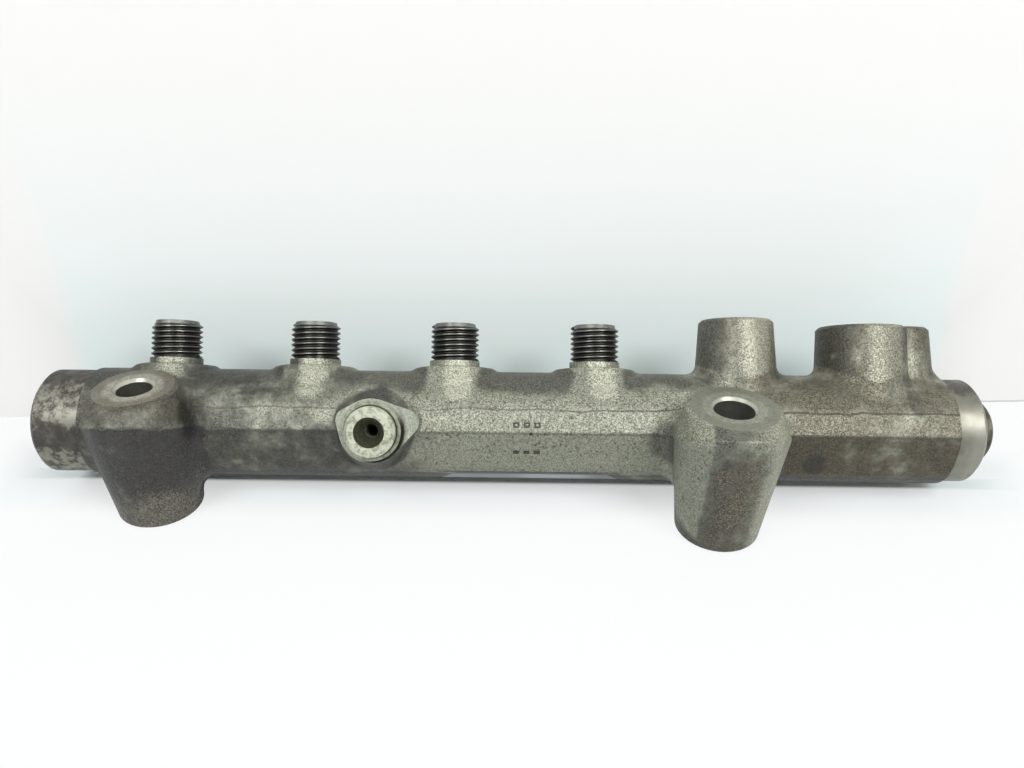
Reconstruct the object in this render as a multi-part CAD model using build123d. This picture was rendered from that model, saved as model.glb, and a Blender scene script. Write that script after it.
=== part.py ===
from build123d import *
from math import cos, radians, sin, tan
import os

# Forged fuel rail of a four-cylinder diesel engine: one steel forging with its ports, and an end plug.
#
# Frame: millimetres. The origin lies on the axis of the left bolt hole, in the plane of the two feet.
# +X runs along the rail, +Z up along the bolts, +Y from the bolts towards the rail's own axis.

# ---- rail tube ---------------------------------------------------------------------------------
rail_radius = 15.5          # forged skin
ridge_radius = rail_radius + 0.5         # crest of the flat-sided nose along the parting line
ridge_round = 1.2
flank_round = 5.0           # where the nose's flats meet the round of the bar
end_radius = rail_radius - 0.7           # turned ends
axis_y = 13.6               # rail axis behind the left bolt hole
axis_z = rail_radius + 4.7  # rail axis above the feet: the tube clears the engine by 4.7
foot_radius = 11.4          # the bolt columns' feet
left_skin_x = -(foot_radius + 7.0)      # the forged skin starts here
left_end_x = left_skin_x - 13.8
nose_start_x = foot_radius + 7.4        # the nose grows out of the round bar past the left column
nose_full_x = nose_start_x + 6.2
end_chamfer = 1.3
upper_flat_angle = 24.0     # arc from the ridge up to where the flat meets the round
lower_flat_angle = 46.0     # arc from the ridge down to where the flat meets the round
centre_radius = 2.5         # turning centre in the left end
centre_depth = 3.0

# ---- directions --------------------------------------------------------------------------------
port_lean = 30.0            # outlet ports lean back from the bolts
inlet_rise = 24.0           # inlet port points up from the plane of the feet

# ---- main bore and end plug ----------------------------------------------------------------------
bore_radius = 5.0
bore_end_x = -18.0          # blind end of the main bore
plug_thread_radius = 8.0    # M16
plug_thread_length = 12.0
plug_seat_length = 3.0      # cone from the thread down to the main bore
plug_clearance = 0.05
plug_head_radius = 8.9
plug_head_length = 4.8
plug_head_chamfer = 0.8
plug_hex_flat = 8.0
plug_hex_depth = 6.5

# ---- outlet ports --------------------------------------------------------------------------------
port_count = 4
port_pitch = 41.0
first_port_x = 2.3
last_port_x = first_port_x + (port_count - 1) * port_pitch
thread_radius = 7.0         # M14 x 1.5
mound_top = rail_radius + 1.5   # heights are from the rail axis
mound_foot = rail_radius - 8.0      # buried in the bar
collar_radius = thread_radius + 0.3
collar_top = mound_top + 1.5
port_tip = collar_top + 10.9
tip_chamfer = 1.1
cone_mouth_radius = 4.2
cone_half_angle = 30.0
passage_radius = 1.3
mound_long = 11.5           # forged mound round each port, domed along the rail
mound_wide = rail_radius - 7.3
mound_taper = 24.0
mound_dome = 100.0
mound_round = 1.5

# ---- inlet port ----------------------------------------------------------------------------------
inlet_x = first_port_x + 1.5 * port_pitch - 0.8
inlet_passage_radius = 1.8
pad_height = ridge_radius + 0.6     # milled pad round the inlet
pad_foot = rail_radius - 6.5
inlet_collar_radius = thread_radius + 1.2
inlet_collar_top = pad_height + 1.0
inlet_tip = inlet_collar_top + 3.0
pad_radius = 8.9
pad_right_lobe = (9.4, 2.4, 3.6)    # along the rail, up, radius
pad_left_lobe = (-6.4, 2.8, 3.4)
pad_taper = 24.0

# ---- sensor boss ---------------------------------------------------------------------------------
sensor_x = last_port_x + 41.4
sensor_top = rail_radius + 15.9
sensor_radius = rail_radius - 4.9       # at its top
sensor_draft = 4.0
sensor_bore_radius = 5.25   # tapped M12 x 1.5
sensor_bore_depth = 11.0
sensor_passage_radius = 1.8

# ---- valve boss ----------------------------------------------------------------------------------
valve_x = sensor_x + 36.6
valve_top = rail_radius + 14.3
valve_radius = rail_radius - 3.2
valve_draft = 2.0
valve_bore_radius = 8.5
valve_bore_depth = 10.0
valve_seat_radius = 3.5
ear_offset = 12.0           # screw ear, along the rail from the valve's axis
ear_back = 2.0
ear_draft = 4.0
ear_radius = 8.2
ear_hole_radius = 2.5       # tapped M6
ear_hole_depth = 14.0
ear_hole_offset = 14.2

right_skin_x = valve_x + ear_offset + ear_radius + 0.7     # the turned end starts past the ear
right_end_x = right_skin_x + 8.3

# ---- bolt columns --------------------------------------------------------------------------------
bolt_spacing = last_port_x + 33.7
right_bolt_y = -7.3         # the right bolt stands further from the rail
column_height = axis_z + 18.6
left_hole_radius = 4.6
right_hole_radius = 5.3
left_seat_radius = 10.4
right_seat_radius = 11.4
hole_chamfer = 0.8
foot_round = 1.5
column_draft = 6.5
# Each column's parting ridge is a plane curve. It leaves the rail's own parting plane at a start measured
# from the rail's axis, a little lifted, and climbs to a drop below the seat in front of the bolt.
left_ridge_start = axis_y / cos(radians(inlet_rise))        # on the bolt's axis
left_ridge_lift = 0.8
left_ridge_drop = 3.3
left_ridge_round = 2.0
right_ridge_start = ridge_radius        # at the rail's own ridge
right_ridge_lift = 0.2
right_ridge_drop = 0.6
right_ridge_round = 1.2
seat_rim = 0.8              # broken edge round the seat

# ---- milled flat under the rail --------------------------------------------------------------------
flat_depth = 0.65
flat_angle = 45.0           # faces the bolts, this far below the plane of the feet
flat_start_x = last_port_x - 33.1
flat_end_x = last_port_x - 4.3
flat_cutter_radius = 12.0
flat_cutter_offset = 6.0

# ---- fillets and edges -----------------------------------------------------------------------------
column_fillet = 4.0
valve_fillet = 3.5
sensor_fillet = 3.0
mound_fillet = 2.5
boss_edge = 0.8
mouth_chamfer = 0.8
overrun = 1.0               # cuts start this far outside a face

port_dir = Vector(0, sin(radians(port_lean)), cos(radians(port_lean)))
inlet_dir = Vector(0, -cos(radians(inlet_rise)), sin(radians(inlet_rise)))
back_dir = Vector(0, cos(radians(port_lean)), -sin(radians(port_lean)))


def port_plane(x, height=0.0, back=0.0):
    """A plane square to the outlet ports, at a height above the rail axis and shifted back square to them."""
    origin = Vector(x, axis_y, axis_z) + port_dir * height + back_dir * back
    return Plane(origin, x_dir=(1, 0, 0), z_dir=port_dir)


def inlet_plane(height=0.0):
    """A plane square to the inlet port, at a height above the rail axis."""
    return Plane(Vector(inlet_x, axis_y, axis_z) + inlet_dir * height, x_dir=(1, 0, 0), z_dir=inlet_dir)


def cross_plane(x):
    """A plane square to the rail: its +X is the inlet's direction and its +Y points up and back."""
    return Plane((x, axis_y, axis_z), x_dir=inlet_dir, z_dir=(-1, 0, 0))


def cylinder_on(plane, radius, length):
    """A cylinder that starts on a plane and grows along its normal."""
    return plane * extrude(Circle(radius), length)


def cone_on(plane, start_radius, end_radius_, length):
    """A cone or frustum that starts on a plane and grows along its normal."""
    low = (Align.CENTER, Align.CENTER, Align.MIN)
    return plane * Cone(start_radius, end_radius_, length, align=low)


def seam_edges(joined, base, added):
    """The edges where two solids met when they were joined."""

    def key(edge):
        mid = edge @ 0.5
        return tuple(round(v, 3) for v in (mid.X, mid.Y, mid.Z, edge.length))

    old = {key(e) for e in base.edges()} | {key(e) for e in added.edges()}
    new = [e for e in joined.edges() if key(e) not in old]
    return [e for e in new if max(base.distance_to(e @ 0.5), added.distance_to(e @ 0.5)) < 1e-4]


def join(base, added, radius):
    """Join two solids and blend the seam between them."""
    joined = base + added
    return fillet(seam_edges(joined, base, added), radius)


def rail_section(nosed):
    """Round bar, with or without a flat-sided nose at front and back, where the dies part."""
    up, down = radians(upper_flat_angle), radians(lower_flat_angle)
    crest = ridge_radius if nosed else rail_radius

    def at(angle, side):
        radius = rail_radius if angle else crest
        return (side * radius * cos(angle), radius * sin(angle))

    def flank(start, end, side):
        if nosed:
            return Line(at(start, side), at(end, side))
        return ThreePointArc(at(start, side), at((start + end) / 2, side), at(end, side))

    with BuildSketch() as section:
        with BuildLine():
            ThreePointArc(at(up, -1), (0, rail_radius), at(up, 1))
            flank(up, 0, 1)
            flank(0, -down, 1)
            ThreePointArc(at(-down, 1), (0, -rail_radius), at(-down, -1))
            flank(-down, 0, -1)
            flank(0, up, -1)
        make_face()
    return section.sketch


def nosed_bar():
    """The long part of the forged bar, with its ridges slightly rounded."""
    end = cross_plane(right_end_x + overrun)
    bar = extrude(end * rail_section(True), right_end_x + overrun - nose_full_x)
    crests = [end.origin + inlet_dir * (side * ridge_radius) for side in (-1, 1)]
    ridges = [bar.edges().filter_by(Axis.X).sort_by(lambda e: e.distance_to(crest))[0] for crest in crests]
    bar = fillet(ridges, ridge_round)
    edges = bar.edges().filter_by(Axis.X)
    return fillet([e for e in edges if min(e.distance_to(crest) for crest in crests) > 2 * ridge_round], flank_round)


def nose_run_out():
    """The nose fades into the round bar."""
    full = cross_plane(nose_full_x) * rail_section(True)
    start = cross_plane(nose_start_x) * rail_section(False)
    return loft([full.face(), start.face()], ruled=True)


def round_bar():
    """The left part of the forged bar, which carries the left column."""
    start = Plane((nose_start_x, axis_y, axis_z), x_dir=-inlet_dir, z_dir=(-1, 0, 0))
    return cylinder_on(start, rail_radius, nose_start_x - left_end_x + overrun)


def turned_end(end_x, skin_x):
    """What the lathe takes off one end: all skin outside a cylinder with a chamfered rim."""
    side = 1 if end_x > skin_x else -1
    shoulder = Plane((skin_x, axis_y, axis_z), z_dir=(side, 0, 0))
    length = side * (end_x - skin_x)
    core = cylinder_on(shoulder, end_radius, length)
    rim = core.edges().filter_by(GeomType.CIRCLE).sort_by(lambda e: side * e.center().X)[-1]
    return cylinder_on(shoulder, 2 * rail_radius, length + 2 * overrun) - chamfer(rim, end_chamfer)


def port_xs():
    """Where the outlet ports stand along the rail."""
    return [first_port_x + i * port_pitch for i in range(port_count)]


def mound(x):
    """Forged mound that carries an outlet port: an oval with draft and a domed, rounded top."""
    height = mound_top - mound_foot
    spread = height * tan(radians(mound_taper))
    foot = port_plane(x, mound_foot) * Ellipse(mound_long + spread, mound_wide + spread)
    oval = extrude(foot, height, dir=port_dir, taper=mound_taper)
    dome = Plane(port_plane(x, mound_top - mound_dome).origin, z_dir=back_dir) * Cylinder(
        mound_dome, 4 * mound_wide
    )
    shaped = oval & dome
    rim = [f for f in shaped.faces() if f.geom_type == GeomType.CYLINDER][0].edges()
    return fillet(rim, mound_round)


def threaded_stub(plane, collar, collar_height, tip_height, root_height):
    """Stub for a union nut: a collar, the thread's outer cylinder and a chamfered tip."""
    base = plane.offset(root_height)
    stub = cylinder_on(base, collar, collar_height - root_height)
    thread = cylinder_on(base, thread_radius, tip_height - root_height)
    tip = thread.faces().sort_by(lambda f: -f.distance_to(plane.origin))[0]
    return stub + chamfer(tip.edges(), tip_chamfer)


def cone_seat(plane, tip_height, mouth, passage):
    """60 degree cone seat in a stub's tip and the passage down to the main bore."""
    depth = (mouth - passage) / tan(radians(cone_half_angle))
    seat = cone_on(plane.offset(tip_height - depth), passage, mouth, depth)
    return seat + cylinder_on(plane, passage, tip_height - depth)


def tapered_boss(x, radius, top, draft, back=0.0):
    """Round boss along the ports, wider at the rail than at its top, with its top edge broken."""
    grown = radius + top * tan(radians(draft))
    boss = cone_on(port_plane(x, 0, back), grown, radius, top)
    rim = boss.edges().filter_by(GeomType.CIRCLE).sort_by(lambda e: e.length)[0]
    return chamfer(rim, boss_edge)


def valve_boss():
    """Barrel with a screw ear on its far side from the columns."""
    barrel = tapered_boss(valve_x, valve_radius, valve_top, valve_draft)
    return barrel + tapered_boss(valve_x + ear_offset, ear_radius, valve_top, ear_draft, ear_back)


def bolt_column(x, y, seat_radius, ridge_sizes):
    """Bolt column: widest at a tilted parting ridge, drafted down to its foot and up to its seat."""
    ridge_start, ridge_lift, ridge_drop, column_ridge_round = ridge_sizes
    foot = Plane((x, y, 0), x_dir=(0, -1, 0), z_dir=(0, 0, 1))
    top_radius = foot_radius + column_height * tan(radians(column_draft))
    cone = cone_on(foot, foot_radius, top_radius, column_height)
    start = Vector(x, axis_y, axis_z + ridge_lift) + inlet_dir * ridge_start
    climb = Vector(x, y - top_radius, column_height - ridge_drop) - start
    ridge = Plane(start, x_dir=(1, 0, 0), z_dir=(0, climb.Z, -climb.Y))
    lower = split(cone, bisect_by=ridge, keep=Keep.BOTTOM)
    top = foot.offset(column_height) * Circle(seat_radius + seat_rim)
    upper = loft([lower.faces().sort_by(Axis.Z)[-1], top.face()], ruled=True)
    column = lower + upper
    column = fillet(column.edges().filter_by(GeomType.ELLIPSE), column_ridge_round)
    column = fillet(column.edges().group_by(Axis.Z)[0], foot_round)
    return chamfer(column.edges().group_by(Axis.Z)[-1], seat_rim)


def bolt_hole(x, y, radius):
    """Bolt hole, chamfered at the seat."""
    hole = cylinder_on(Plane((x, y, 0)), radius, column_height)
    rim = Plane((x, y, column_height - hole_chamfer))
    return hole + cone_on(rim, radius, radius + hole_chamfer, hole_chamfer)


def inlet_pad():
    """Raised forged pad round the inlet, milled flat: a round with a lobe at each side."""
    with BuildSketch() as outline:
        Circle(pad_radius)
        for x, y, radius in (pad_right_lobe, pad_left_lobe):
            with Locations((x, -y)):
                Circle(radius)
        make_hull()
    down = Plane(inlet_plane(pad_height).origin, x_dir=(1, 0, 0), z_dir=-inlet_dir)
    return extrude(down * outline.sketch, pad_height - pad_foot, taper=-pad_taper)


def main_bore():
    """Main bore from the right end, with the plug's thread and cone."""
    end = Plane((right_end_x, axis_y, axis_z), z_dir=(-1, 0, 0))
    bore = cylinder_on(end, bore_radius, right_end_x - bore_end_x)
    thread = cylinder_on(end, plug_thread_radius, plug_thread_length)
    seat = cone_on(end.offset(plug_thread_length), plug_thread_radius, bore_radius, plug_seat_length)
    return bore + thread + seat


def port_bore(x, top, radius, depth, passage):
    """Stepped bore down a boss: mouth chamfer, bore, drill cone and passage to the main bore."""
    plane = port_plane(x)
    floor = top - depth
    cone = (radius - passage) / tan(radians(59))
    bore = cylinder_on(plane.offset(floor), radius, depth)
    bore += cone_on(plane.offset(floor - cone), passage, radius, cone)
    bore += cone_on(plane.offset(top - mouth_chamfer), radius, radius + mouth_chamfer, mouth_chamfer)
    return bore + cylinder_on(plane, passage, floor)


def ear_hole():
    """Blind tapped hole for the valve's screw."""
    floor = port_plane(valve_x + ear_hole_offset, valve_top - ear_hole_depth, ear_back)
    return cylinder_on(floor, ear_hole_radius, ear_hole_depth + overrun)


def milled_flat():
    """Flat milled along the underside; the cutter's round leaves a curved run-out at both ends."""
    angle = radians(flat_angle)
    normal = Vector(0, -cos(angle), -sin(angle))
    middle = (flat_start_x + flat_end_x) / 2
    origin = Vector(middle, axis_y, axis_z) + normal * (rail_radius - flat_depth)
    plane = Plane(origin, x_dir=(1, 0, 0), z_dir=normal)
    track = Pos(0, -flat_cutter_offset) * SlotCenterToCenter(flat_end_x - flat_start_x, 2 * flat_cutter_radius)
    return extrude(plane * track, flat_cutter_radius)


def forging():
    """The forged skin, before any machining."""
    left_ridge = (left_ridge_start, left_ridge_lift, left_ridge_drop, left_ridge_round)
    left = join(round_bar(), bolt_column(0, 0, left_seat_radius, left_ridge), column_fillet)
    right_ridge = (right_ridge_start, right_ridge_lift, right_ridge_drop, right_ridge_round)
    right_column = bolt_column(bolt_spacing, right_bolt_y, right_seat_radius, right_ridge)
    right = join(nosed_bar(), right_column, column_fillet)
    right = join(right, valve_boss(), valve_fillet)
    for x in port_xs()[1:]:
        right = join(right, mound(x), mound_fillet)
    right += inlet_pad()
    right = join(right, tapered_boss(sensor_x, sensor_radius, sensor_top, sensor_draft), sensor_fillet)
    left = join(left, mound(first_port_x), mound_fillet)
    return left + nose_run_out() + right


def rail_body():
    """The machined rail."""
    body = forging()
    for x in port_xs():
        body += threaded_stub(port_plane(x), collar_radius, collar_top, port_tip, mound_foot)
    body += threaded_stub(inlet_plane(), inlet_collar_radius, inlet_collar_top, inlet_tip, pad_foot)
    cuts = [turned_end(left_end_x, left_skin_x), turned_end(right_end_x, right_skin_x)]
    cuts += [main_bore(), milled_flat(), ear_hole()]
    cuts += [cone_seat(port_plane(x), port_tip, cone_mouth_radius, passage_radius) for x in port_xs()]
    cuts += [cone_seat(inlet_plane(), inlet_tip, cone_mouth_radius, inlet_passage_radius)]
    cuts += [port_bore(sensor_x, sensor_top, sensor_bore_radius, sensor_bore_depth, sensor_passage_radius)]
    cuts += [port_bore(valve_x, valve_top, valve_bore_radius, valve_bore_depth, valve_seat_radius)]
    cuts += [bolt_hole(0, 0, left_hole_radius), bolt_hole(bolt_spacing, right_bolt_y, right_hole_radius)]
    left_end = Plane((left_end_x, axis_y, axis_z), z_dir=(1, 0, 0))
    cuts += [cone_on(left_end, centre_radius, 0, centre_depth)]
    for cut in cuts:
        body -= cut
    return body


def end_plug():
    """Screwed plug with a hexagon socket; its head seats on the rail's end face."""
    face = Plane((right_end_x, axis_y, axis_z), z_dir=(1, 0, 0))
    inward = Plane(face.origin, z_dir=(-1, 0, 0))
    head = cylinder_on(face, plug_head_radius, plug_head_length)
    head = chamfer(head.edges().filter_by(GeomType.CIRCLE).sort_by(Axis.X)[-1], plug_head_chamfer)
    shank = cylinder_on(inward, plug_thread_radius - plug_clearance, plug_thread_length)
    socket_plane = face.offset(plug_head_length - plug_hex_depth)
    socket = socket_plane * extrude(RegularPolygon(plug_hex_flat / 2, 6, major_radius=False), plug_hex_depth)
    return head + shank - socket


def write(name, shape):
    """Write one node's STEP file."""
    solids = shape.solids()
    export_step(solids[0] if len(solids) == 1 else Compound(solids), f"parts/{name}.step")
    print(name, len(solids), "solid, volume", round(shape.volume))


os.makedirs("parts", exist_ok=True)
write("rail_body", rail_body())
write("end_plug", end_plug())
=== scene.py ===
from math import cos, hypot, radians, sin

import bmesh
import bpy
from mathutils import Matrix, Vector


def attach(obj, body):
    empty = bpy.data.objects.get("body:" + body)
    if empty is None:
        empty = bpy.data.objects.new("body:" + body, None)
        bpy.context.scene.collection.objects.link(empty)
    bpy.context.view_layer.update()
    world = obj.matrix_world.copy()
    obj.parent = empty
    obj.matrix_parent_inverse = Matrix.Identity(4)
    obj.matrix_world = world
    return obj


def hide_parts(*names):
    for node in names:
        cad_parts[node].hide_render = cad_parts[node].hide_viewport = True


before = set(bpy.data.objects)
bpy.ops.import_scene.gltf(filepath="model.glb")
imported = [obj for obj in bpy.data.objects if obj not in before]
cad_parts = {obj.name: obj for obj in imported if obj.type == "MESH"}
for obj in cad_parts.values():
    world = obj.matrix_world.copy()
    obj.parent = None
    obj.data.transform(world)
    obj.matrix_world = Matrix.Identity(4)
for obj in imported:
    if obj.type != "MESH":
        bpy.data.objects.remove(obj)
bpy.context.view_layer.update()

# %% [markdown]
# # A forged fuel rail, dressed
# The CAD model gives the solids: one forged rail and one screwed plug. This lesson gives them their looks:
# a rough forged skin, bright turned and milled places, real thread ridges on the pipe stubs, and a plain
# pale set with two soft lamps. Blender works in metres here, in the frame of the CAD.

# %% [markdown]
# The sizes below are the rail's own, in millimetres, as the CAD has them. Looks need them to know where one
# finish ends and the next begins.

# %% Sizes of the rail
MM = 0.001
rail_axis = Vector((0, 13.6, 20.2)) * MM
port_lean, inlet_rise = radians(30), radians(24)
port_dir = Vector((0, sin(port_lean), cos(port_lean)))
back_dir = Vector((0, cos(port_lean), -sin(port_lean)))
inlet_dir = Vector((0, -cos(inlet_rise), sin(inlet_rise)))
first_port_x, port_pitch, port_count = 2.3, 41.0, 4
thread_radius, root_radius, thread_pitch = 7.0, 6.12, 1.5
collar_top, tip_chamfer_start = 18.5, 28.3
left_skin_x, right_skin_x = -18.4, 224.2
end_radius, rail_radius = 14.8, 15.5
inlet_x, pad_height, inlet_collar_top = 63.0, 16.6, 17.6
sensor_x, sensor_top, sensor_bore = 166.7, 31.4, 5.25
valve_x, valve_top, valve_bore = 203.3, 29.8, 8.5
ear_hole_x, ear_hole_back, ear_bore = 217.5, 2.0, 2.5
left_bolt, left_hole = Vector((0, 0, 0)), 4.6
right_bolt, right_hole = Vector((159.0, -7.3, 0)), 5.3
seat_z, seat_reach, foot_reach = 38.8, 12.5, 9.0
flat_cut = 0.65         # how deep the milled flat goes under the skin
thread_length, thread_lift = 9.75, 0.35
port_xs = [first_port_x + i * port_pitch for i in range(port_count)]
print("outlet ports at", port_xs)

# %% [markdown]
# A finish is a recipe of shader nodes. Writing nodes by hand is wordy, so this small pen writes them: each
# method adds one node and returns its output, and outputs feed the next ones. Patterns read Object
# coordinates, which stay with the piece wherever the camera goes.

# %% A pen for shader recipes
class Recipe:
    """Writes the nodes of one material; `surface` is its Principled shader."""

    def __init__(self, name):
        self.material = bpy.data.materials.new(name)
        self.material.use_nodes = True
        self.nodes = self.material.node_tree.nodes
        self.links = self.material.node_tree.links
        self.surface = self.nodes["Principled BSDF"]
        self.place = self.nodes.new("ShaderNodeTexCoord").outputs["Object"]

    def feed(self, socket, value):
        if isinstance(value, bpy.types.NodeSocket):
            self.links.new(value, socket)
        elif isinstance(value, (tuple, Vector)) and len(value) == 3 and len(socket.default_value) == 4:
            socket.default_value = (*value, 1)
        else:
            socket.default_value = value

    def add(self, kind, inputs, output=0, **settings):
        node = self.nodes.new("ShaderNode" + kind)
        for key, value in settings.items():
            setattr(node, key, value)
        for key, value in inputs.items():
            self.feed(node.inputs[key], value)
        return node.outputs[output]

    def math(self, operation, a, b=0.0, c=0.0):
        return self.add("Math", {0: a, 1: b, 2: c}, operation=operation)

    def plus(self, a, b):
        return self.math("ADD", a, b)

    def minus(self, a, b):
        return self.math("SUBTRACT", a, b)

    def times(self, a, b):
        return self.math("MULTIPLY", a, b)

    def larger(self, a, b):
        return self.math("MAXIMUM", a, b)

    def size_of(self, a):
        return self.math("ABSOLUTE", a)

    def vector(self, operation, a, b=(0, 0, 0)):
        scalar = operation in ("DOT_PRODUCT", "LENGTH", "DISTANCE")
        return self.add("VectorMath", {0: a, 1: b}, 1 if scalar else 0, operation=operation)

    def between(self, value, low, high, to_low=0.0, to_high=1.0):
        """Fades from to_low to to_high as a value goes from low to high, and stays there past both."""
        names = ("Value", "From Min", "From Max", "To Min", "To Max")
        inputs = dict(zip(names, (value, low, high, to_low, to_high)))
        return self.add("MapRange", inputs, interpolation_type="SMOOTHSTEP")

    def noise(self, size, detail=2.0, roughness=0.5, place=None, stretch=None):
        """Cloudy noise with blobs of a given size in millimetres."""
        place = self.place if place is None else place
        if stretch:
            place = self.vector("MULTIPLY", place, stretch)
        inputs = {"Vector": place, "Scale": 0.5 / (size * MM), "Detail": detail, "Roughness": roughness}
        return self.add("TexNoise", inputs, "Fac")

    def cells(self, size, place=None, output="Distance"):
        place = self.place if place is None else place
        return self.add("TexVoronoi", {"Vector": place, "Scale": 0.7 / (size * MM)}, output)

    def mix(self, factor, a, b, blend_type="MIX"):
        """Mixes two colours."""
        return self.add("Mix", {0: factor, 6: a, 7: b}, 2, data_type="RGBA", blend_type=blend_type)

    def near(self, point, radius, soft):
        """1 close to a point (in millimetres), 0 away from it."""
        far = self.vector("DISTANCE", self.place, Vector(point) * MM)
        return self.between(far, radius * MM, (radius + soft) * MM, 1.0, 0.0)

    def from_axis(self, point, direction):
        """Offset from a point on an axis, height along the axis and distance from it, in metres."""
        offset = self.vector("SUBTRACT", self.place, point)
        height = self.vector("DOT_PRODUCT", offset, tuple(direction))
        square = self.minus(self.vector("DOT_PRODUCT", offset, offset), self.times(height, height))
        return offset, height, self.math("SQRT", square)

    def bump(self, height, depth, normal=None):
        """Raises the surface by up to `depth` millimetres."""
        inputs = {"Height": height, "Distance": depth * MM, "Strength": 1.0}
        if normal is not None:
            inputs["Normal"] = normal
        return self.add("Bump", inputs)

    def finish(self, colour, roughness, metallic, normal=None):
        self.feed(self.surface.inputs["Base Color"], colour)
        self.feed(self.surface.inputs["Roughness"], roughness)
        self.feed(self.surface.inputs["Metallic"], metallic)
        if normal is not None:
            self.feed(self.surface.inputs["Normal"], normal)
        print("finish ready:", self.material.name, "with", len(self.nodes), "nodes")
        return self.material

# %% [markdown]
# The forged skin covers most of the rail. Steel that was hammered hot in a die has a fine rough grain; shot
# cleaning leaves bright specks, and the engine left soot and oil in patches. So the colour is built in
# layers: first specks under half a millimetre and mottles of a few, then worn and stained places, and with
# them painted shade and painted highlights. Each layer has a share, from 0 to 1, that says where on the rail
# it lies, and noise breaks up its edge.

# %% Where on the rail a point is
def recipe_xyz(recipe):
    """The three Object coordinates, each on its own."""
    return [recipe.add("SeparateXYZ", {0: recipe.place}, axis) for axis in (0, 1, 2)]


def round_the_rail(recipe):
    """Angle round the rail axis in radians (0 faces the bolts, a quarter turn is up) and distance from it."""
    x, y, z = recipe_xyz(recipe)
    up = recipe.minus(z, rail_axis.z)
    out = recipe.minus(rail_axis.y, y)
    square = recipe.plus(recipe.times(up, up), recipe.times(out, out))
    return recipe.math("ARCTAN2", up, out), recipe.math("SQRT", square)


def from_port(recipe, x):
    """Distance along the rail from the nearest outlet: one recipe folds all of them onto the first."""
    start = (first_port_x - port_pitch / 2) * MM
    turned_back = recipe.math("FLOORED_MODULO", recipe.minus(x, start), port_pitch * MM)
    return recipe.minus(turned_back, port_pitch * MM / 2)

# %% Forged skin: its grain
skin = Recipe("forged_skin")
x, y, z = recipe_xyz(skin)
angle, out = round_the_rail(skin)
specks = skin.noise(0.20, detail=2, roughness=0.6)
grain = skin.noise(0.55, detail=2)
mottle = skin.noise(2.4, detail=4, roughness=0.6)
clouds = skin.noise(11, detail=4, roughness=0.62)
bright, dark = (0.415, 0.43, 0.335), (0.115, 0.116, 0.090)
speck_share = skin.between(skin.plus(specks, skin.times(grain, 0.25)), 0.46, 0.82)
skin_colour = skin.mix(speck_share, dark, bright)
skin_colour = skin.mix(skin.between(mottle, 0.35, 0.70, 0.0, 0.35), skin_colour, (0.20, 0.205, 0.16))
below_crest = skin.times(skin.between(angle, radians(21), radians(25), 1.0, 0.0),
                        skin.between(angle, radians(-160), radians(-115)))
# painted shade: the face below the crest, turned away from the lamps, is darkened
skin_colour = skin.mix(skin.times(below_crest, 0.45), skin_colour, (0.175, 0.18, 0.14))

# %% Forged skin: layers
breakup = skin.times(skin.minus(clouds, 0.5), 2.4)
breakup = skin.plus(breakup, skin.times(skin.minus(mottle, 0.5), 1.6))
breakup = skin.plus(breakup, skin.times(skin.minus(specks, 0.5), 1.6))
breakup = skin.plus(breakup, 1.0)


def layer(under, share, colour, strength, grit=0.55):
    """Lays one more colour over the skin where its share, broken up by the noises, is more than a half."""
    broken = skin.times(share, breakup)
    gritty = skin.mix(speck_share, tuple(c * (1 - grit) for c in colour),
                      tuple(c * (1 + grit) for c in colour))
    return skin.mix(skin.between(broken, 0.25, 0.75, 0.0, strength), under, gritty)


def both(*shares):
    """Where all the shares hold."""
    result = shares[0]
    for share in shares[1:]:
        result = skin.times(result, share)
    return result


def within(value, middle, half, soft):
    """1 inside a band round a middle value, 0 outside it."""
    away = skin.size_of(skin.minus(value, middle))
    return skin.between(away, half, half + soft, 1.0, 0.0)


# %% [markdown]
# Soot lies thickest at the left, and brown grime at the right. The top of the tube takes soot with painted
# shade, less of it beside the stubs. The lower half is painted darker as shade, and underneath the skin is
# painted nearly black as shade and reflects little. Places along the rail are in metres from the left bolt,
# and places round it are angles about the rail axis.

# %% Forged skin: soot and painted shade on the tube, grime at the right
# these dark colours serve real soot and oil, and also painted shade in several layers below
soot_and_shade, brown = (0.045, 0.045, 0.039), (0.094, 0.080, 0.050)
charcoal, black_oil_and_shade = (0.040, 0.037, 0.037), (0.018, 0.017, 0.014)
tube = skin.between(out, 0.0168, 0.0185, 1.0, 0.0)
off_stubs = skin.between(skin.size_of(from_port(skin, x)), 0.005, 0.010)
on_top = both(skin.between(angle, radians(48), radians(90)),
              skin.between(angle, radians(122), radians(172), 1.0, 0.0))
behind = skin.between(angle, radians(95), radians(115))
skin_colour = layer(skin_colour, skin.between(x, 0.130, 0.185, 0.0, 0.78), brown, 0.78, 0.55)
skin_colour = layer(skin_colour, skin.between(x, 0.020, 0.095, 0.66, 0.12), soot_and_shade, 0.80)
off_stubs = skin.larger(skin.between(off_stubs, 0.0, 1.0, 0.25, 0.95), behind)
# soot and painted shade on top of the tube, less of it beside the stubs
top_soot_and_shade = both(tube, on_top, off_stubs, skin.between(behind, 0.0, 1.0, 1.0, 0.6),
                 skin.between(x, 0.135, 0.160, 1.0, 0.5))
skin_colour = layer(skin_colour, top_soot_and_shade, soot_and_shade, 0.76)
skin_colour = layer(skin_colour, both(below_crest, skin.between(x, 0.055, 0.100, 0.62, 0.0)), soot_and_shade, 0.65)
skin_colour = layer(skin_colour, both(below_crest, tube, skin.between(x, 0.150, 0.175, 0.0, 0.66)),
                    (0.064, 0.053, 0.036), 0.82, 0.5)
# painted shade: the lower half of the tube is darkened
skin_colour = layer(skin_colour, within(angle, radians(-76), radians(38), radians(14)), soot_and_shade, 0.85)
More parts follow.
